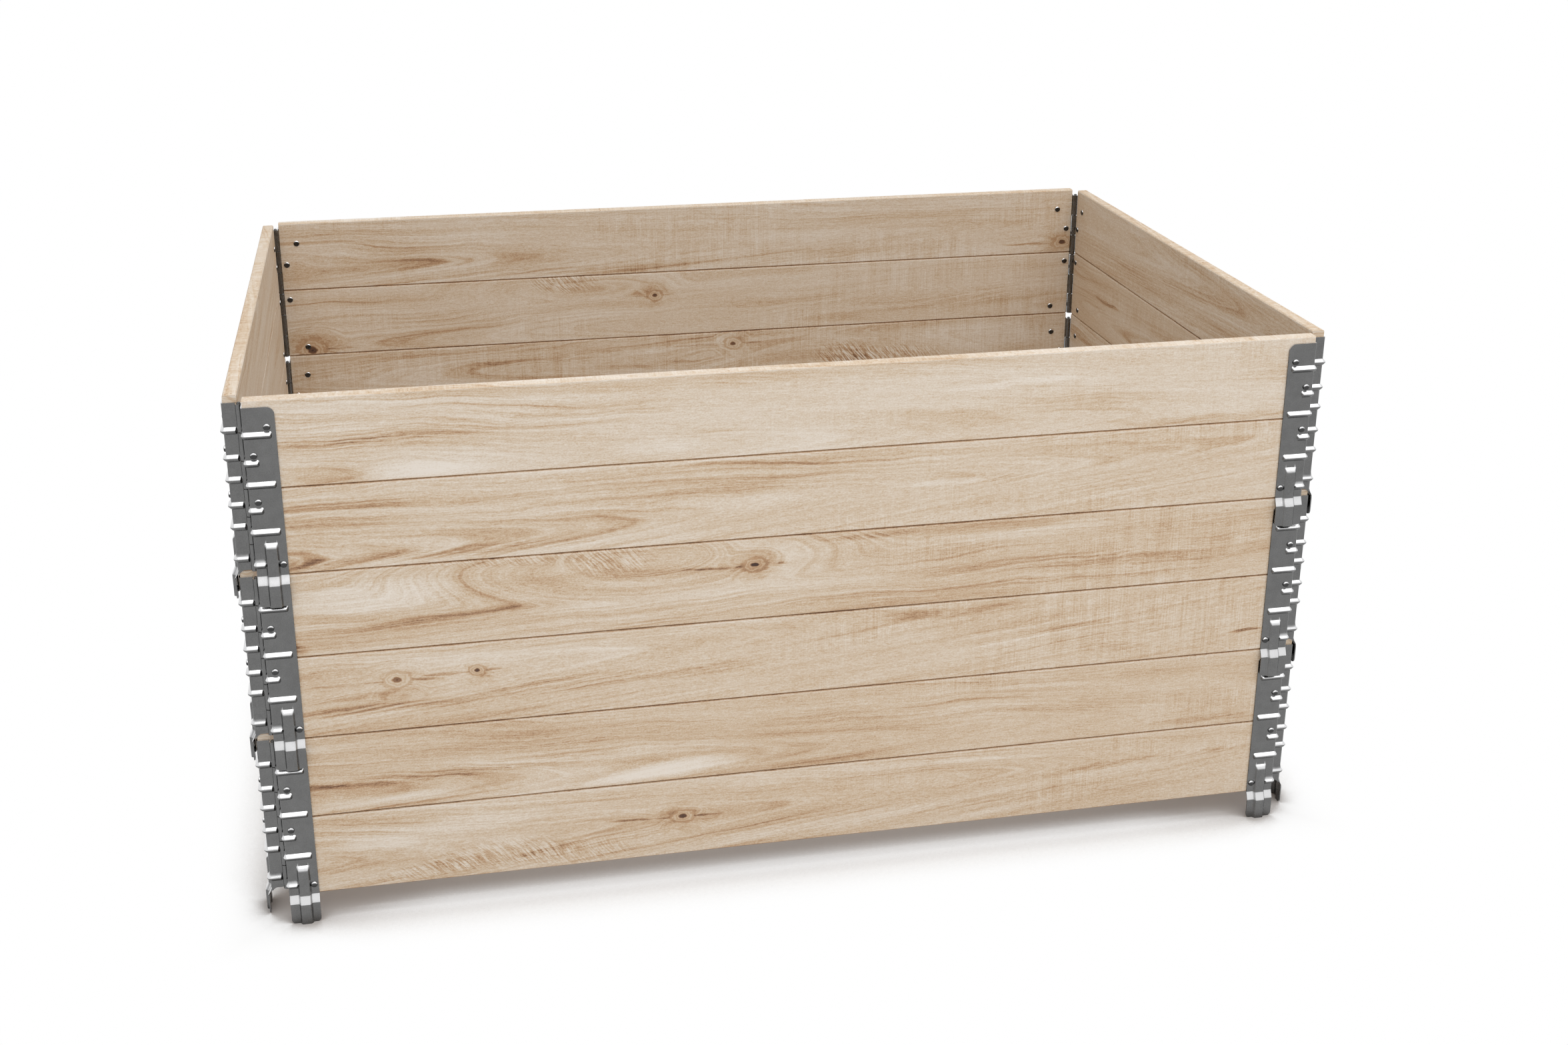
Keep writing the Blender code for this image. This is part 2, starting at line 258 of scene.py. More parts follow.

# What each board shows, in mm from its middle along and up. heart: height, tilt and taper of the growth
# rings' middle. swirls, bands and flames: place, half-length, half-height, slope, and strength. knots:
# place, radius and darkness. saw: how widely saw marks show, and saw_from: where they begin. warm: how
# much darker the whole board is, partly the board's own tone and partly painted shade, which darkens the
# lower front boards more. A board that isn't listed takes its heart from its number.
LOOKS = {
    "upper_front_top": {
        "heart": (-34, 0.01, 0.055), "saw": 0.02, "saw_from": 0, "warm": -0.04,
        "bands": (
            (-430, -2, 130, 6, 0.02, 0.34), (-500, 2, 90, 9, 0.0, 0.25), (-300, 8, 240, 13, 0.01, 0.16),
            (-410, -40, 90, 12, 0.0, -0.3), (-160, -30, 60, 12, 0.0, -0.12),
            (470, -40, 170, 8, 0.01, 0.26), (230, 15, 90, 5, 0.06, -0.16), (-500, 26, 100, 14, 0.0, 0.1),
        ),
    },
    "upper_front_bottom": {
        "heart": (-4, 0.06, 0.06), "saw": 0.03, "saw_from": 0, "warm": 0.02,
        "bands": (
            (-500, 24, 110, 9, -0.02, 0.28), (-380, -36, 190, 9, 0.01, 0.36),
            (-520, -40, 60, 9, 0.0, 0.3), (-100, 12, 160, 9, 0.09, 0.16), (215, 3, 60, 6, -0.05, 0.2),
            (460, 24, 110, 10, 0.0, 0.14), (-480, 4, 80, 10, 0.02, 0.14), (160, 2, 60, 5, 0.0, -0.2),
        ),
    },
    "middle_front_top": {
        "heart": (-52, 0.0, -0.03), "saw": 0.08, "saw_from": 60, "warm": 0.07,
        "swirls": ((-190, 52, 330, 70, 0, -60), (-180, 50, 120, 40, 0, -30)),
        "bands": (
            (-470, 14, 110, 20, 0.04, -0.24), (290, -10, 240, 12, -0.02, 0.3), (70, 41, 70, 5, 0.02, 0.3),
            (-370, -14, 160, 9, 0.05, 0.22), (420, 26, 170, 16, 0.0, 0.14), (250, -30, 300, 6, 0.0, 0.2),
            (-560, -38, 28, 14, -0.3, 0.5), (500, -2, 100, 20, 0.0, 0.1),
        ),
        "flames": ((-330, 42, 110, 10, -0.04, 0.22), (-215, 36, 56, 24, 0.0, 0.3)),
        "knots": ((-58, 18, 11, 1.0),),
    },
    "middle_front_bottom": {
        "heart": (30, 0.05, 0.05), "saw": 0.08, "saw_from": -40, "warm": 0.05,
        "bands": (
            (-470, -21, 130, 7, 0.02, 0.34), (-280, -10, 120, 14, 0.03, 0.2), (170, 36, 130, 8, 0.0, 0.3),
            (-500, -6, 70, 7, 0.0, 0.2), (360, -27, 60, 9, -0.03, 0.2), (528, -23, 26, 3, 0.0, 0.5),
            (-330, 30, 200, 12, 0.0, -0.1), (-120, -8, 100, 9, 0.06, 0.2), (330, 4, 150, 9, -0.04, 0.12),
        ),
        "knots": ((-448, 11, 12, 0.85), (-363, 15.5, 7, 1.0)),
    },
    "lower_front_top": {
        "heart": (-22, 0.01, 0.05), "saw": 0.04, "saw_from": 80, "warm": 0.1,
        "bands": (
            (-440, -14, 150, 7, 0.01, 0.36), (-540, -14, 40, 6, 0.0, 0.25),
            (-300, -8, 120, 12, 0.02, 0.2), (-160, -34, 110, 12, 0.06, -0.34),
            (-470, -36, 110, 10, 0.02, -0.2), (488, -36, 100, 6, 0.0, 0.24),
            (-330, 14, 260, 10, 0.0, 0.12), (10, 18, 90, 10, 0.02, 0.12), (330, -2, 200, 12, 0.0, 0.1),
        ),
    },
    "lower_front_bottom": {
        "heart": (4, 0.03, 0.075), "saw": 0.04, "saw_from": 40, "warm": 0.06,
        "bands": (
            (-480, 8, 60, 13, 0.0, -0.18), (-380, 22, 110, 12, 0.0, -0.16), (434, 11, 160, 7, 0.04, 0.28),
            (-240, -20, 90, 10, 0.1, 0.2), (300, -20, 220, 10, 0.0, 0.14), (-530, -14, 60, 14, 0.0, 0.12),
            (120, 30, 160, 8, 0.0, 0.12),
        ),
        "flames": (
            (-430, -34, 70, 13, 0.1, 0.26), (-350, -22, 100, 22, 0.02, 0.28),
            (-265, -32, 90, 14, -0.02, 0.22),
        ),
        "knots": ((-142, 0, 11, 0.95),),
    },
    "upper_back_top": {
        "heart": (-10, 0.02, 0.045), "saw": 0.05, "warm": 0.02,
        "bands": (
            (-380, -20, 200, 12, 0.0, 0.2), (-100, -38, 300, 8, 0.0, 0.22), (-480, 30, 90, 14, 0.0, 0.14),
        ),
        "knots": ((567, -31, 12, 0.9),),
    },
    "upper_back_bottom": {
        "heart": (-34, 0.0, -0.04), "saw": 0.05, "warm": 0.03,
        "swirls": ((-188, 52, 230, 44, 0, -30),),
        "bands": (
            (368, -19, 160, 12, 0.0, 0.2), (-420, -30, 160, 14, 0.0, 0.18), (150, -4, 160, 12, 0.0, 0.12),
        ),
        "flames": ((-188, 40, 60, 22, 0.0, 0.35),),
        "knots": ((-56, 14, 9, 0.95), (-548, -38, 16, 0.9)),
    },
    "middle_back_top": {
        "heart": (10, 0.01, -0.05), "saw": 0.18, "warm": 0.08,
        "swirls": ((240, -10, 260, 50, 0, 30),),
        "bands": (
            (-250, 18, 130, 6, 0.0, 0.26), (-60, 4, 130, 6, 0.0, 0.24), (440, 20, 140, 26, 0.0, -0.16),
        ),
        "flames": ((230, 2, 60, 24, 0.0, 0.4), (300, -4, 110, 18, 0.02, 0.36)),
        "knots": ((60, 31, 11, 0.95),),
    },
    "upper_right_top": {
        "heart": (20, 0.0, -0.05), "saw": 0.05, "warm": 0.08,
        "bands": (
            (-120, 14, 120, 10, 0.0, 0.2), (-290, 18, 60, 10, 0.0, 0.4), (120, -20, 160, 10, 0.0, 0.16),
        ),
    },
    "upper_right_bottom": {
        "heart": (-20, 0.0, 0.05), "saw": 0.05, "warm": 0.12,
        "bands": (
            (238, 7, 60, 5, 0.0, 0.4), (-60, 16, 160, 10, 0.0, 0.2), (60, -24, 160, 12, 0.0, 0.18),
        ),
    },
}


class Graph:
    """A material's nodes. Each call adds a node and returns its output as a Field."""

    def __init__(self, name):
        self.material = bpy.data.materials.new(name)
        self.material.use_nodes = True
        self.tree = self.material.node_tree
        self.shader = self.tree.nodes["Principled BSDF"]

    def add(self, kind, **settings):
        node = self.tree.nodes.new(kind)
        for key, value in settings.items():
            setattr(node, key, value)
        return node

    def feed(self, socket, value):
        if isinstance(value, Field):
            self.tree.links.new(value.socket, socket)
        else:
            socket.default_value = value

    def math(self, operation, *values):
        node = self.add("ShaderNodeMath", operation=operation)
        for socket, value in zip(node.inputs, values):
            self.feed(socket, value)
        return Field(self, node.outputs[0])

    def most(self, a, b):
        return self.math("MAXIMUM", a, b)

    def ramp(self, value, low, high, start=0.0, end=1.0):
        node = self.add("ShaderNodeMapRange", interpolation_type="SMOOTHSTEP")
        for socket, given in zip(node.inputs, (value, low, high, start, end)):
            self.feed(socket, given)
        return Field(self, node.outputs[0])

    def scaled(self, vector, scale, offset=(0, 0, 0)):
        node = self.add("ShaderNodeVectorMath", operation="MULTIPLY_ADD")
        for socket, given in zip(node.inputs, (vector, scale, offset)):
            self.feed(socket, given)
        return Field(self, node.outputs[0])

    def split(self, vector):
        node = self.add("ShaderNodeSeparateXYZ")
        self.feed(node.inputs[0], vector)
        return [Field(self, output) for output in node.outputs]

    def join(self, x, y, z):
        node = self.add("ShaderNodeCombineXYZ")
        for socket, given in zip(node.inputs, (x, y, z)):
            self.feed(socket, given)
        return Field(self, node.outputs[0])

    def noise(self, vector, lengths, detail=2.0, roughness=0.5, seed=0.0, distortion=0.0):
        """Noise from 0 to 1 whose features are about as long as lengths, in the vector's own unit."""
        scale = tuple(1 / length for length in lengths)
        offset = (seed * 7.31, seed * 3.77, seed * 5.19)
        node = self.add("ShaderNodeTexNoise")
        self.feed(node.inputs["Vector"], self.scaled(vector, scale, offset))
        node.inputs["Scale"].default_value = 1
        node.inputs["Detail"].default_value = detail
        node.inputs["Roughness"].default_value = roughness
        node.inputs["Distortion"].default_value = distortion
        return Field(self, node.outputs["Fac"])

    def mix(self, factor, start, end):
        node = self.add("ShaderNodeMix", data_type="RGBA")
        self.feed(node.inputs["Factor"], factor)
        for socket, colour in ((node.inputs[6], start), (node.inputs[7], end)):
            self.feed(socket, colour if isinstance(colour, Field) else (*colour, 1))
        return Field(self, node.outputs[2])

    def bump(self, height, strength=1.0):
        """A bump whose height is in millimetres."""
        node = self.add("ShaderNodeBump")
        node.inputs["Strength"].default_value = strength
        node.inputs["Distance"].default_value = MM
        self.feed(node.inputs["Height"], height)
        self.feed(self.shader.inputs["Normal"], Field(self, node.outputs[0]))

    def object_place(self, scale=1 / MM, offset=(0, 0, 0)):
        """Place in the object, in millimetres unless a scale is given."""
        place = Field(self, self.add("ShaderNodeTexCoord").outputs["Object"])
        return self.scaled(place, (scale, scale, scale), offset)

    def facing_up(self):
        """1 where the surface faces straight up, 0 where it is upright."""
        return self.split(Field(self, self.add("ShaderNodeTexCoord").outputs["Normal"]))[2]


class Field:
    """A node's output that arithmetic works on."""

    def __init__(self, graph, socket):
        self.graph = graph
        self.socket = socket

    def __add__(self, other):
        return self.graph.math("ADD", self, other)

    def __sub__(self, other):
        return self.graph.math("SUBTRACT", self, other)

    def __mul__(self, other):
        return self.graph.math("MULTIPLY", self, other)

    def abs(self):
        return self.graph.math("ABSOLUTE", self)

    def root(self):
        return self.graph.math("SQRT", self)


def smooth(value):
    """Eases from 0 to 1."""
    value = min(max(value, 0), 1)
    return value * value * (3 - 2 * value)


def bead_rise(x, z, inset=0):
    """How far the bead stands out from the sheet at this place on the face."""
    half = (BEAD_TO_X - BEAD_FROM_X) / 2 - inset
    side = smooth((half - abs(x - (BEAD_FROM_X + BEAD_TO_X) / 2)) / BEAD_SLOPE)
    down = min(max((BEAD_TOP - inset - z) / BEAD_TOP_SLOPE, 0), 1)
    return BEAD_HEIGHT * side * (1 - (1 - down) ** BEAD_TOP_POWER)


def crest_fall(away):
    """How far a rib's flank has dropped at this share of its half-width, with the crest rounded."""
    return math.hypot(away, CREST_ROUNDING) - CREST_ROUNDING


def rib_rise(s, z):
    """How far the ribs stand out at blank place s (0 where the face begins) and height z."""
    rise = 0
    for upper, lower, reach in RIBS:
        half = (lower - upper) / 2
        middle = COLLAR_HEIGHT - (lower + upper) / 2
        face_end = PIN_TO_BOARD_END + reach - FACE_X
        past = max(s - face_end, BLANK_RIB_END - s, -RIB_CAP) / RIB_CAP + 1
        away = (past ** RIB_END_POWER + abs((z - middle) / half) ** RIB_END_POWER) ** (1 / RIB_END_POWER)
        round_bend = smooth(-s / BEND_LENGTH)
        height = RIB_HEIGHT_FACE + round_bend * (RIB_HEIGHT_FLANGE - RIB_HEIGHT_FACE)
        body = max(1 - crest_fall(away) / crest_fall(1), 0)
        if upper == RIBS[-1][0] and z > middle and past < 1:
            up = (z - middle) / (half + LOW_RIB_FILLET)
            fillet = LOW_RIB_FILLET_HEIGHT * max(1 - up, 0) ** LOW_RIB_FILLET_POWER
            body = max(body, fillet * (1 - past ** 2))
        rise = max(rise, height * body)
    return rise


def joggle_out(z):
    """How far the tongue is set outwards at height z: nearly straight, a little eased at both bends."""
    run = min(max((LEAF_BOTTOM - z) / (LEAF_BOTTOM - JOGGLE_BOTTOM), 0), 1)
    return JOGGLE_OFFSET * (JOGGLE_EASE * smooth(run) + (1 - JOGGLE_EASE) * run)


def gusset_reach(z):
    """Blank place of the metal's edge on the flange side at height z, under the knuckles."""
    if z <= GUSSET_BOTTOM:
        return -TONGUE_SIDE
    rise = (z - GUSSET_BOTTOM) / (LEAF_BOTTOM - GUSSET_BOTTOM)
    return BLANK_GUSSET_TOP + (-TONGUE_SIDE - BLANK_GUSSET_TOP) * math.sqrt(max(1 - min(rise, 1) ** 2, 0))


def bent_place(s, z, depth):
    """Where blank place s at height z lies once bent, depth below the sheet's outer side, and the
    direction that is outwards there."""
    radius = BEND_RADIUS - depth
    flange_start = -BEND_LENGTH
    centre = Vector((FACE_X, FACE_Y + BEND_RADIUS, 0))
    if s >= 0:
        out = Vector((0, -1, 0))
        place = Vector((FACE_X + s, FACE_Y + depth, 0))
    elif s >= flange_start:
        angle = -s / BEND_RADIUS
        out = Vector((-math.sin(angle), -math.cos(angle), 0))
        place = centre + out * radius
    elif s >= BLANK_FLANGE_END:
        out = Vector((-1, 0, 0))
        place = Vector((FLANGE_X + depth, FACE_Y + BEND_RADIUS + flange_start - s, 0))
    else:
        place, out = curl_place(BLANK_FLANGE_END - s, depth)
    flat = smooth((TONGUE_FLAT_FROM - z) / TONGUE_FLAT_OVER)
    if flat and s < 0:
        place = place.lerp(Vector((FACE_X + s, FACE_Y + depth, 0)), flat)
        out = out.lerp(Vector((0, -1, 0)), flat).normalized()
    return place, out


def curl_place(past, depth):
    """The knuckle: past is how far along the curl, from the flange's edge. The sheet's outer side is on
    the pin."""
    inner = KNUCKLE_RADIUS - SHEET
    arm = -FLANGE_EDGE_Y
    if past <= arm:
        lean = smooth(past / arm)
        x = FLANGE_X + depth - lean * (FLANGE_X - inner)
        return Vector((x, FLANGE_EDGE_Y + past, 0)), Vector((-1, 0, 0))
    angle = (past - arm) / KNUCKLE_RADIUS
    ray = Vector((math.cos(angle), math.sin(angle), 0))
    return ray * (inner + depth), -ray


def blank_columns():
    """Places across the blank: the curl, the flange, the bend and the face."""
    curl_start = BLANK_FLANGE_END + FLANGE_EDGE_Y
    curl_length = math.radians(KNUCKLE_END_DEG) * KNUCKLE_RADIUS
    columns = [curl_start - curl_length * step / KNUCKLE_STEPS for step in range(KNUCKLE_STEPS, 0, -1)]
    columns += [curl_start, BLANK_FLANGE_END + FLANGE_EDGE_Y / 2]
    columns += [BLANK_RIB_END + RIB_CAP * step / FLANGE_STEPS for step in range(-1, FLANGE_STEPS)]
    cap_end = BLANK_RIB_END + RIB_CAP
    columns += [cap_end + (-BEND_LENGTH - cap_end) * step / FLANGE_STEPS for step in range(FLANGE_STEPS)]
    columns += [-BEND_LENGTH * (1 - step / BEND_STEPS) for step in range(BEND_STEPS)]
    columns += [BLANK_REACH * step / FACE_STEPS for step in range(FACE_STEPS + 1)]
    return columns


def blank_rows():
    """Heights of the rows, close together where the sheet is shaped."""
    rows = {LEAF_TOP, TONGUE_BOTTOM, LEAF_BOTTOM}
    for index in range(1, KNUCKLES):
        low = LEAF_BOTTOM + index * KNUCKLE_PITCH
        rows.update((low - KNUCKLE_GAP / 2, low + KNUCKLE_GAP / 2))
    rows.update((LEAF_TOP - KNUCKLE_GAP / 2, LEAF_BOTTOM + KNUCKLE_GAP / 2))
    for upper, lower, _ in RIBS:
        half = (lower - upper) / 2
        for share in RIB_STATIONS:
            rows.update((COLLAR_HEIGHT - (lower + upper) / 2 + half * side * share) for side in (-1, 1))
    steps = 6
    for step in range(steps + 1):
        turn = math.pi / 2 * step / steps
        rows.add(LEAF_TOP - TOP_CORNER * (1 - math.sin(turn)))
        rows.add(TONGUE_BOTTOM + TONGUE_CORNER * (1 - math.sin(turn)))
    steps = 12
    for step in range(steps + 1):
        rows.add(GUSSET_BOTTOM + (LEAF_BOTTOM - GUSSET_BOTTOM) * math.cos(math.pi / 2 * step / steps))
    rows.update(GUSSET_BOTTOM - 0.8 * step for step in range(1, 5))
    for bend in (LEAF_BOTTOM, JOGGLE_BOTTOM):
        rows.update((bend - 0.7, bend, bend + 0.7))
    rows.update(LEAF_BOTTOM + 1.4 * step for step in range(2, 7))
    rows.update((TONGUE_BOTTOM + 10, TONGUE_BOTTOM + 14))
    rows.update(BEAD_TOP - BEAD_TOP_SLOPE * (step / 14) ** 1.4 for step in range(15))
    low_rib = COLLAR_HEIGHT - RIBS[-1][0]
    rows.update(low_rib + LOW_RIB_FILLET * step / 7 for step in range(1, 8))
    rows = sorted(rows)
    kept = rows[:1]
    for row in rows[1:]:
        if row - kept[-1] > CLOSEST_ROWS:
            kept.append(row)
    return kept


def in_blank(s, z, knuckles):
    """Whether the blank has metal at this place."""
    if s > BLANK_FLANGE_END:
        return z > LEAF_BOTTOM or s > gusset_reach(LEAF_BOTTOM)
    index = math.floor((z - LEAF_BOTTOM) / KNUCKLE_PITCH)
    low = LEAF_BOTTOM + index * KNUCKLE_PITCH + KNUCKLE_GAP / 2
    return index in knuckles and low < z < low + KNUCKLE_PITCH - KNUCKLE_GAP


def trimmed(s, z):
    """Blank place of a column at height z, drawn in to follow the sheet's curved outline."""
    top = gusset_reach(LEAF_BOTTOM)
    if z < LEAF_BOTTOM and top <= s < 0:
        s *= gusset_reach(z) / top
    for corner, radius in ((LEAF_TOP, TOP_CORNER), (TONGUE_BOTTOM, TONGUE_CORNER)):
        into = radius - abs(z - corner)
        if into > 0:
            cut = radius - math.sqrt(max(radius ** 2 - into ** 2, 0))
            hold = BLANK_REACH - radius * CORNER_HOLD
            if s > hold:
                s = hold + (s - hold) * (BLANK_REACH - cut - hold) / (BLANK_REACH - hold)
    into = TONGUE_CORNER - abs(z - TONGUE_BOTTOM)
    if into > 0:
        cut = TONGUE_CORNER - math.sqrt(max(TONGUE_CORNER ** 2 - into ** 2, 0))
        hold = TONGUE_CORNER * CORNER_HOLD
        if s < hold:
            s = hold + (s - hold) * (hold + TONGUE_SIDE - cut) / (hold + TONGUE_SIDE)
    return s


def sheet_point(s, z, inner):
    """A point of the pressed sheet on its outer or inner side."""
    depth = SHEET if inner else 0
    place, out = bent_place(s, z, depth)
    if inner:
        rise = bead_rise(place.x, z, SHEET * 0.8) if s > 0 else 0
    else:
        rise = rib_rise(s, z)
        if s > 0:
            rise = max(rise, bead_rise(place.x, z))
    place += out * rise
    if s > -BEND_LENGTH * 1.001:
        place.y -= joggle_out(z)
    elif z < LEAF_BOTTOM:
        along = (s - gusset_reach(z)) / (-BEND_LENGTH - gusset_reach(z) or 1)
        place.y -= joggle_out(z) * min(max(along, 0), 1)
    place.z = z
    return place * MM


def leaf_mesh(name, knuckles, mirrored):
    """A hinge leaf pressed from one sheet: its outer and inner sides as grids, walled round the outline."""
    columns, rows = blank_columns(), blank_rows()
    bm = bmesh.new()
    sides = []
    for inner in (False, True):
        grid = {}
        for i, s in enumerate(columns):
            for j, z in enumerate(rows):
                grid[i, j] = bm.verts.new(sheet_point(trimmed(s, z), z, inner))
        sides.append(grid)
    # Edges with metal on one side only, in the order in which they are met
    walls = {}
    for i in range(len(columns) - 1):
        for j in range(len(rows) - 1):
            middle = ((columns[i] + columns[i + 1]) / 2, (rows[j] + rows[j + 1]) / 2)
            if not in_blank(*middle, knuckles):
                continue
            ring = ((i, j), (i + 1, j), (i + 1, j + 1), (i, j + 1))
            bm.faces.new([sides[0][key] for key in ring])
            bm.faces.new([sides[1][key] for key in reversed(ring)])
            for start, end in zip(ring, ring[1:] + ring[:1]):
                if (end, start) in walls:
                    del walls[end, start]
                else:
                    walls[start, end] = True
    rims = []
    for start, end in walls:
        corners = (sides[0][end], sides[0][start], sides[1][start], sides[1][end])
        bm.faces.new(corners)
        rims.append((sides[0][start], sides[0][end]))
        rims.append((sides[1][start], sides[1][end]))
    bmesh.ops.delete(bm, geom=[vert for vert in bm.verts if not vert.link_faces], context="VERTS")
    rim_edges = [edge for edge in (bm.edges.get(pair) for pair in rims) if edge]
    bmesh.ops.bevel(
        bm, geom=rim_edges, offset=EDGE_ROUNDING * MM, segments=1, affect="EDGES", clamp_overlap=True
    )
    if mirrored:
        bmesh.ops.scale(bm, vec=(-1, 1, 1), verts=bm.verts)
    bmesh.ops.recalc_face_normals(bm, faces=bm.faces)
    return finished(name, bm, math.radians(40))


def finished(name, bm, sharp_from):
    mesh = bpy.data.meshes.new(name)
    bm.to_mesh(mesh)
    bm.free()
    mesh.shade_smooth()
    mesh.set_sharp_from_angle(angle=sharp_from)
    return mesh


def lathe(bm, profile, sides):
    """Turns a profile of (radius, height) about Z, closed at both ends."""
    rings = []
    for radius, height in profile:
        if radius:
            turns = [2 * math.pi * step / sides for step in range(sides)]
            rings.append([bm.verts.new((radius * math.cos(a), radius * math.sin(a), height)) for a in turns])
        else:
            rings.append([bm.verts.new((0, 0, height))])
    for near, far in zip(rings, rings[1:]):
        for i in range(sides):
            j = (i + 1) % sides
            ring = (near[i % len(near)], near[j % len(near)], far[j % len(far)], far[i % len(far)])
            bm.faces.new(dict.fromkeys(ring))


def dome(radius, rise, steps=9):
    """Profile of a rivet's head, from its rim to its flattened crown."""
    profile = [(radius * 0.9, 0), (radius * 0.98, 0.08 * rise), (radius, 0.16 * rise)]
    for step in range(1, steps + 1):
        turn = math.pi / 2 * step / steps
        across = math.cos(turn) ** 0.7 if step < steps else 0
        profile.append((radius * across, rise * (0.16 + 0.84 * math.sin(turn) ** 0.7)))
    return profile


def rivet_mesh():
    """A rivet along Y: a domed head on the leaf's face and another on the boards' inner side."""
    bm = bmesh.new()
    head = dome(RIVET_RADIUS, RIVET_RISE)
    tail = dome(RIVET_INNER_RADIUS, RIVET_INNER_RISE)
    profile = [(r, -FACE_Y + h) for r, h in reversed(head)]
    profile += [(r, PIN_TO_INNER_FACE - h) for r, h in tail]
    lathe(bm, [(r * MM, h * MM) for r, h in profile], RIVET_SIDES)
    bmesh.ops.rotate(bm, matrix=Matrix.Rotation(math.radians(90), 3, "X"), verts=bm.verts)
    bmesh.ops.recalc_face_normals(bm, faces=bm.faces)
    return finished("rivet", bm, math.radians(50))


def pin_mesh():
    """A hinge pin with softly peened ends."""
    profile = [(0, PIN_BOTTOM), (PIN_RADIUS - PIN_EASE, PIN_BOTTOM), (PIN_RADIUS, PIN_BOTTOM + PIN_EASE)]
    profile += [(PIN_RADIUS, PIN_TOP - PIN_EASE), (PIN_RADIUS - 0.2, PIN_TOP - 0.25)]
    profile += [(PIN_RADIUS - PIN_EASE, PIN_TOP), (0, PIN_TOP - 0.15)]
    bm = bmesh.new()
    lathe(bm, [(r * MM, h * MM) for r, h in profile], PIN_SIDES)
    bmesh.ops.recalc_face_normals(bm, faces=bm.faces)
    return finished("hinge_pin", bm, math.radians(40))


def piece(name, mesh, material, body, slot, matrix, *nodes):
    """Adds a piece that rides on a body and, where nodes are named, stands for them."""
    obj = bpy.data.objects.new(name, mesh)
    bpy.context.scene.collection.objects.link(obj)
    if not mesh.materials:
        mesh.materials.append(material)
    obj.matrix_world = matrix
    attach(obj, body)
    if nodes:
        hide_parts(*nodes)
    return obj


def zinc_material(name, dull, bright):
    g = Graph(name)
    place = g.object_place()
    shade = Field(g, g.add("ShaderNodeObjectInfo").outputs["Random"])
    x, y, z = g.split(place)
    place = g.join(x + shade * 310, y, z + shade * 170)
    spangle = g.noise(place, (9, 9, 9), 3, 0.55, 1)
    fine = g.noise(place, (1.3, 1.3, 1.3), 2, 0.6, 2)
    cloudy = g.noise(place, (24, 24, 24), 2, 0.5, 5)
    tone = spangle * 0.3 + fine * 0.45 + cloudy * 0.25
    coat = g.mix(g.ramp(tone, 0.25, 0.75), dull, bright)
    # Painted highlight: slopes that face up, on sheets and rivets, take the pale zinc colour.
    painted_highlight = g.ramp(g.facing_up() + (spangle - 0.5) * 0.1, *PAINTED_HIGHLIGHT_SLOPES)
    g.feed(g.shader.inputs["Base Color"], g.mix(painted_highlight, coat, PAINTED_HIGHLIGHT_ZINC))
    g.shader.inputs["Metallic"].default_value = 1
    g.feed(g.shader.inputs["Roughness"], g.ramp(spangle, 0.3, 0.7, 0.22, 0.3))
    g.bump(spangle * 0.012 + fine * 0.006, 0.6)
    return g.material


def steel_material():
    g = Graph("pin_steel")
    place = g.object_place()
    stain = g.noise(place, (3, 3, 5), 3, 0.6, 4)
    g.feed(g.shader.inputs["Base Color"], g.mix(g.ramp(stain, 0.35, 0.7), *PIN_STEEL))
    g.shader.inputs["Metallic"].default_value = 1
    g.feed(g.shader.inputs["Roughness"], g.ramp(stain, 0.3, 0.7, 0.32, 0.5))
    g.bump(stain * 0.02)
    return g.material


def wood_material(node, look):
    """Softwood for one board: u runs along the board from its middle, v up from mid-height, in mm."""
    g = Graph(f"wood_{node}")
    seed = list(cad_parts).index(node)
    u, v, w, half = board_axes(g, node)
    seam_dirt_and_painted_light = seam_dirt_shade_and_highlight(g, node, v, half)
    board = g.join(u, v, w)
    noise = noises(g, board, BOARD_NOISE, seed)
    sway = swing(noise, "sway")
    v = v + sway * 0.55 + swing(noise, "ripple")
    spots = wood_spots(g, u, v)
    ring = growth_rings(u, v, w, sway, seed, spots, look)
    noise.update(noises(g, g.join(u, ring, seed * SEED_STEP), RING_NOISE))
    noise.update(noises(g, g.join(u, v, seed * SEED_STEP), FIBRE_NOISE))
    noise["saw"] = g.noise(board, *SAW_NOISE)
    pores = g.ramp(noise["pores"], 0.66, 0.76)
    sawn = saw_mask(g, u, noise, look)
    # The board's warm shift is partly its own tone and partly painted shade, darker on the lower front
    # boards.
    tone = grain_tone(g, u, noise, pores) + (look.get("warm", 0) + WOOD_TONE)
    tone, ruffle = streaked(g, u, v, tone, noise, spots, look)
    tone = tone + (swing(noise, "saw") + swing(noise, "weft")) * sawn
    tone = knotted(g, u, v, tone, noise, spots, look)
    colour_wood(g, (tone + darker_ends(g, node, u) + seam_dirt_and_painted_light) * TONE_SCALE)
    g.feed(g.shader.inputs["Roughness"], g.ramp(noise["fibre"], 0.2, 0.8, 0.5, 0.68))
    height = (noise["fibre"] - 0.5) * -0.16 + pores * -0.06 + noise["lines"] * 0.05
    height = height + (noise["saw"] - 0.5) * sawn * 0.05
    if ruffle:
        height = height + ruffle * RUFFLE_BUMP
    g.bump(height, 0.8)
    return g.material


def board_axes(g, node):
    """Place along, up and through a board from its middle, and half its height, in mm."""
    low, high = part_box(node)
    centre = [(a + b) / 2 for a, b in zip(low, high)]
    along = 0 if node.split("_")[1] in ("front", "back") else 1
    axes = g.split(g.object_place(offset=tuple(-c / MM for c in centre)))
    return axes[along], axes[2], axes[1 - along], (high[2] - low[2]) / 2 / MM


def noises(g, vector, table, seed=0):
    return {name: g.noise(vector, *spec, own + seed) for name, (*spec, own) in table.items()}


def swing(noise, name):
    return (noise[name] - 0.5) * SWING[name]


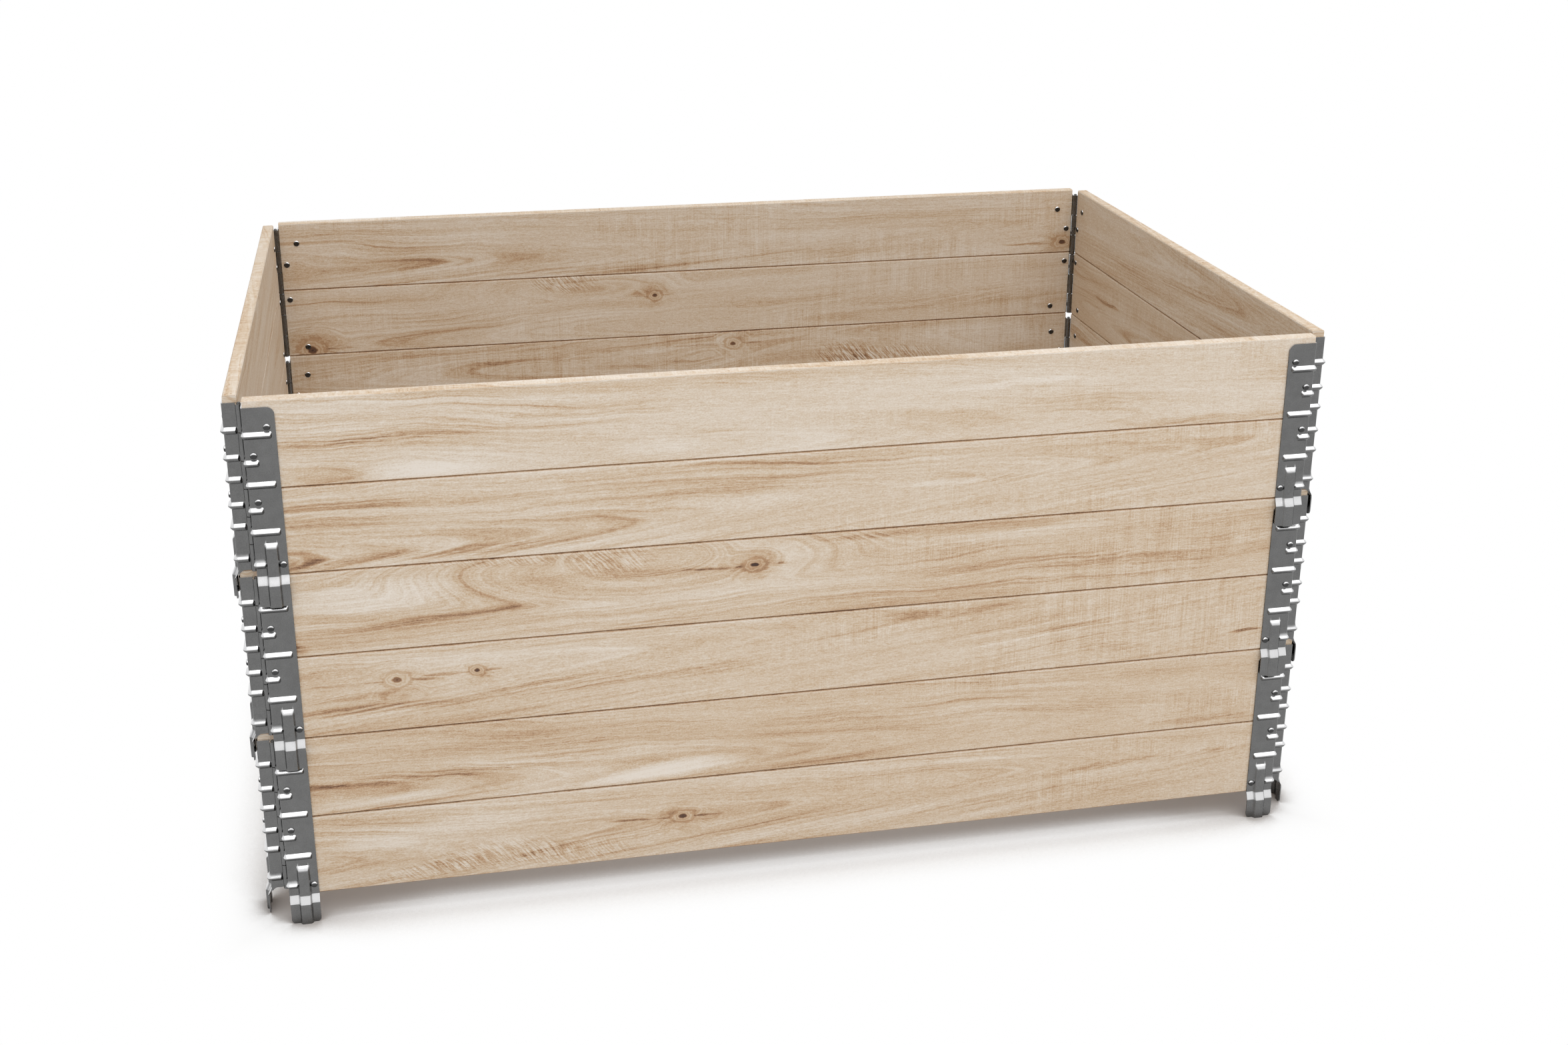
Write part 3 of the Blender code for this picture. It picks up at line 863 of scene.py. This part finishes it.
def seam_dirt_shade_and_highlight(g, node, v, half):
    """Dirt and painted shade along a board's lower and upper edge, less a painted highlight along the eased
    upper edge. The stack's top edge has no dirt and shade, only the highlight.
    """
    # Dirt and painted shade: darker towards the lower edge, and towards the upper edge below the next board.
    seam_dirt_and_painted_light = g.ramp(v + half, *SEAM_BELOW, SEAM_BELOW_DEPTH, 0.0)
    side = node.split("_")[1]
    if node != f"{TIERS[-1]}_{side}_board_{ROWS[-1]}":
        seam_dirt_and_painted_light = seam_dirt_and_painted_light + g.ramp(v * -1 + half, *SEAM_ABOVE, SEAM_ABOVE_DEPTH, 0.0)
    # Painted highlight: a pale line along the eased upper edge.
    return seam_dirt_and_painted_light - g.ramp((v * -1 + (half - EASED_EDGE)).abs(), 0, EASED_EDGE_REACH, EASED_EDGE_HIGHLIGHT, 0.0)


def darker_ends(g, node, u):
    """Darker towards both ends of a board."""
    half = HALF_LENGTH if node.split("_")[1] in ("front", "back") else HALF_WIDTH
    end = half - END_PLACE_INSET
    return g.ramp(u.abs(), end - END_DARKER_BEFORE, end + END_DARKER_AFTER) * END_DARKER_DEPTH


def growth_rings(u, v, w, sway, seed, spots, look):
    """Distance from the growth rings' middle, bent round swirls and knots."""
    heart, tilt, taper = look.get("heart", ((seed * 37) % 110 - 55, 0.02, 0.05 if seed % 2 else -0.05))
    from_heart = v - (u * tilt + heart)
    ring = (from_heart * from_heart + HEART_SOFTNESS).root() + u * taper + w * 0.45 + sway * 0.35
    for *spot, lift in look.get("swirls", ()):
        ring = ring + spots(*spot) * lift
    for u0, v0, radius, _ in look.get("knots", ()):
        above = spots(u0, v0 + radius, radius * 3, radius * 1.3)
        below = spots(u0, v0 - radius, radius * 3, radius * 1.3)
        ring = ring + (above - below) * (radius * -0.7)
    return ring


def grain_tone(g, u, noise, pores):
    """The plain grain: growth rings, livelier in places, with fibres and pores over them."""
    veins = g.ramp(noise["veins"], 0.60, 0.68) * g.ramp(noise["broad"], 0.35, 0.6)
    stripe = g.ramp(noise["stripe"], 0.48, 0.78)
    lively = g.ramp(noise["lively"] - u * LIVELIER_TO_LEFT, 0.32, 0.64, 0.5, 1.6)
    tone = swing(noise, "broad") + swing(noise, "lines") + veins * VEIN_DEPTH + stripe * STRIPE_DEPTH
    tone = tone * lively + swing(noise, "fibre") + swing(noise, "strand") + swing(noise, "fuzz")
    tone = tone + pores * (g.ramp(noise["cloud"], 0.4, 0.65) * 0.26 + 0.06)
    return tone + swing(noise, "cloud")


def streaked(g, u, v, tone, noise, spots, look):
    """Adds a board's dark and pale bands and its ruffled flames, and returns where it is ruffled."""
    for *spot, depth in look.get("bands", ()):
        ragged = g.ramp(noise["lines"] * 0.6 + noise["fibre"] * 0.4, 0.36, 0.62) if depth > 0 else 1
        tone = tone + spots(*spot) * ragged * depth
    ruffle = None
    for *spot, depth in look.get("flames", ()):
        slant = g.join(u + v * 0.9, u * 0.35 - v, 0)
        strokes = g.ramp(g.noise(slant, *RUFFLE_NOISE), 0.36, 0.62, -0.5, 0.8)
        part = spots(*spot) * strokes
        tone = tone + part * depth
        ruffle = part + ruffle if ruffle else part
    return tone, ruffle


def saw_mask(g, u, noise, look):
    """Where saw marks show."""
    mask = g.ramp(noise["sawn"] + look.get("saw", 0), 0.45, 0.75)
    if "saw_from" in look:
        mask = mask * g.ramp(u, look["saw_from"] - SAW_FADE, look["saw_from"] + SAW_FADE)
    return mask


def knotted(g, u, v, tone, noise, spots, look):
    """Adds a board's knots, each with a dark tail on both sides."""
    for u0, v0, radius, depth in look.get("knots", ()):
        left = spots(u0 - 4.4 * radius, v0 - 1, 4.6 * radius, 2.2)
        right = spots(u0 + 2.2 * radius, v0, 2.2 * radius, 1.8)
        ragged = g.ramp(noise["lines"] * 0.5 + noise["fibre"] * 0.5, 0.36, 0.6)
        tone = tone + (left + right) * ragged * (0.5 * depth)
        tone = knot_tone(g, u, v, tone, u0, v0, radius, depth, noise["cloud"])
    return tone


def colour_wood(g, tone):
    ramp = g.add("ShaderNodeValToRGB")
    while len(ramp.color_ramp.elements) < len(WOOD_COLOURS):
        ramp.color_ramp.elements.new(0.5)
    for element, (spot, colour) in zip(ramp.color_ramp.elements, WOOD_COLOURS):
        element.position = spot
        element.color = (*colour, 1)
    g.feed(ramp.inputs[0], tone)
    g.feed(g.shader.inputs["Base Color"], Field(g, ramp.outputs[0]))


def wood_spots(g, u, v):
    """Makes soft elliptical spots: 1 at (u0, v0), 0 outside half-axes a and b, leaning by slope."""
    def spot(u0, v0, a, b, slope=0):
        across = g.math("MULTIPLY_ADD", u, 1 / a, -u0 / a)
        lean = g.math("MULTIPLY_ADD", u, -slope / b, (slope * u0 - v0) / b)
        up = g.math("MULTIPLY_ADD", v, 1 / b, lean)
        away = g.math("MULTIPLY_ADD", up, up, across * across)
        return g.ramp(away, 0.0, 1.0, 1.0, 0.0)
    return spot


def knot_tone(g, u, v, tone, u0, v0, radius, depth, cloud):
    """Paints a knot: a dark core, brown rings round it, a dark rim and a shaded surround."""
    across = g.math("MULTIPLY_ADD", u, 1 / (radius * 1.45), -u0 / (radius * 1.45))
    up = g.math("MULTIPLY_ADD", v, 1 / radius, -v0 / radius)
    rough = g.noise(g.join(u, v, u0), (7, 5, 1), 3, 0.6, 12)
    away = (across * across + up * up).root() * (rough * 0.9 + 0.55)
    core = g.ramp(away, 0.1, 0.42, 1.0, 0.0)
    body = g.ramp(away, 0.75, 1.0, 1.0, 0.0)
    rim = g.ramp((away - 0.88).abs(), 0, 0.2, 1.0, 0.0)
    halo = g.ramp(away, 0.9, 2.6, 1.0, 0.0) * g.ramp(cloud, 0.3, 0.6)
    inside = g.math("SINE", away * 24 + rough * 5) * 0.1 + core * (0.75 * depth) + 0.45 * depth
    return tone * (body * -1 + 1) + inside * body + rim * (0.2 * depth) + halo * (0.2 * depth)


def dress_boards():
    for tier in TIERS:
        for side in SIDES:
            for row in ROWS:
                node = f"{tier}_{side}_board_{row}"
                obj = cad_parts[node]
                obj.material_slots[0].material = wood_material(node, LOOKS.get(f"{tier}_{side}_{row}", {}))


def corner_matrix(side, corner, level):
    """The frame of a hinge leaf at this corner, turned with its side."""
    pin_x = HALF_LENGTH - BOARD_THICKNESS - PIN_TO_INNER_FACE
    pin_y = HALF_WIDTH - BOARD_THICKNESS - PIN_TO_INNER_FACE
    x = pin_x if corner.endswith("right") else -pin_x
    y = pin_y if corner.startswith("back") else -pin_y
    z = -TONGUE_BOTTOM + level * COLLAR_PITCH
    turn = SIDES[side][0] if side else 0
    return Matrix.Translation(Vector((x, y, z)) * MM) @ Matrix.Rotation(math.radians(turn), 4, "Z")


def fit_hinges():
    zinc = zinc_material("galvanised_sheet", *SHEET_ZINC)
    plated = zinc_material("plated_rivet", *RIVET_ZINC)
    steel = steel_material()
    leaves = {hand: leaf_mesh(f"leaf_{hand}", LEAF_HANDS[hand], hand == "right") for hand in LEAF_HANDS}
    rivet, pin = rivet_mesh(), pin_mesh()
    for level, tier in enumerate(TIERS):
        for side, (_, left, right) in SIDES.items():
            body = f"{tier}_{side}"
            for hand, corner in (("left", left), ("right", right)):
                place = corner_matrix(side, corner, level)
                node = f"{body}_hinge_leaf_{hand}"
                piece(f"{node}_sheet", leaves[hand], zinc, body, "galvanised_sheet", place, node)
                for number, (along, down) in enumerate(RIVETS, 1):
                    x = (PIN_TO_BOARD_END + along) * (1 if hand == "left" else -1)
                    spot = place @ Matrix.Translation(Vector((x, 0, COLLAR_HEIGHT - down)) * MM)
                    piece(f"{node}_rivet_{number}", rivet, plated, body, "galvanised_sheet", spot)
        for side in ("front", "back"):
            for hand, corner in zip(("left", "right"), SIDES[side][1:]):
                node = f"{tier}_hinge_pin_{corner}"
                place = corner_matrix(None, corner, level)
                piece(f"{node}_rod", pin, steel, f"{tier}_{side}", "pin_steel", place, node)


def add_camera():
    data = bpy.data.cameras.new("camera")
    data.lens = LENS_MM
    data.sensor_width = SENSOR_MM
    data.shift_x, data.shift_y = CAMERA_SHIFT
    camera = bpy.data.objects.new("camera", data)
    camera.location = CAMERA_PLACE
    camera.rotation_euler = [math.radians(turn) for turn in CAMERA_TURN_DEG]
    bpy.context.scene.collection.objects.link(camera)
    bpy.context.scene.camera = camera


def add_softbox():
    data = bpy.data.lights.new("softbox", "AREA")
    data.shape = "RECTANGLE"
    data.size, data.size_y = SOFTBOX_SIZE
    data.energy = SOFTBOX_WATTS
    lamp = bpy.data.objects.new("softbox", data)
    lamp.location = SOFTBOX_PLACE
    aim = Vector(SOFTBOX_AIM) - Vector(SOFTBOX_PLACE)
    lamp.rotation_euler = aim.to_track_quat("-Z", "Y").to_euler()
    bpy.context.scene.collection.objects.link(lamp)


def seen_directly(tree):
    """1 for rays from the camera and through mirrors and glass, 0 for rays that carry light."""
    path = tree.nodes.new("ShaderNodeLightPath")
    total = path.outputs["Is Camera Ray"]
    for name in ("Is Glossy Ray", "Is Transmission Ray"):
        node = tree.nodes.new("ShaderNodeMath")
        node.operation = "MAXIMUM"
        tree.links.new(total, node.inputs[0])
        tree.links.new(path.outputs[name], node.inputs[1])
        total = node.outputs[0]
    return total


def light_world():
    world = bpy.data.worlds.new("studio")
    bpy.context.scene.world = world
    world.use_nodes = True
    tree = world.node_tree
    background = tree.nodes["Background"]
    background.inputs["Color"].default_value = (1, 1, 1, 1)
    level = tree.nodes.new("ShaderNodeMapRange")
    level.inputs["To Min"].default_value = SKY_LEVEL
    level.inputs["To Max"].default_value = 1
    tree.links.new(seen_directly(tree), level.inputs["Value"])
    tree.links.new(level.outputs[0], background.inputs["Strength"])


def add_floor():
    bm = bmesh.new()
    bmesh.ops.create_circle(bm, cap_ends=True, segments=FLOOR_SIDES, radius=FLOOR_RADIUS)
    mesh = bpy.data.meshes.new("floor")
    bm.to_mesh(mesh)
    bm.free()
    floor = bpy.data.objects.new("floor", mesh)
    bpy.context.scene.collection.objects.link(floor)
    g = Graph("floor")
    g.tree.nodes.remove(g.shader)
    shade = g.add("ShaderNodeAmbientOcclusion", samples=SHADE_SAMPLES)
    shade.inputs["Distance"].default_value = FLOOR_SHADE_REACH
    across, along, _ = g.split(g.object_place(1))
    beyond = g.most(across.abs() - FOOTPRINT[0], along.abs() - FOOTPRINT[1])
    outside = g.ramp(beyond, *FOOTPRINT_FADE)
    clear = g.ramp(Field(g, shade.outputs["AO"]) + outside * OUTSIDE_CLEARER, *FLOOR_OPEN)
    # Painted shade: inside the footprint the floor keeps part of the darker under colour.
    clear = clear * (outside * (1 - INSIDE_WHITENESS) + INSIDE_WHITENESS)
    matt = g.add("ShaderNodeBsdfDiffuse")
    # Painted shade: the floor's colour darkens towards the under colour where it isn't clear.
    g.feed(matt.inputs["Color"], g.mix(clear, FLOOR_PAINTED_SHADE, FLOOR_COLOUR))
    lift = g.add("ShaderNodeEmission")
    seen = Field(g, seen_directly(g.tree))
    total = g.add("ShaderNodeMixShader")
    g.feed(total.inputs[0], seen * clear)
    g.tree.links.new(matt.outputs[0], total.inputs[1])
    g.tree.links.new(lift.outputs[0], total.inputs[2])
    g.tree.links.new(total.outputs[0], g.tree.nodes["Material Output"].inputs["Surface"])
    mesh.materials.append(g.material)


bpy.context.scene.view_settings.view_transform = "Standard"
add_camera()
add_softbox()
light_world()
add_floor()
dress_boards()
fit_hinges()
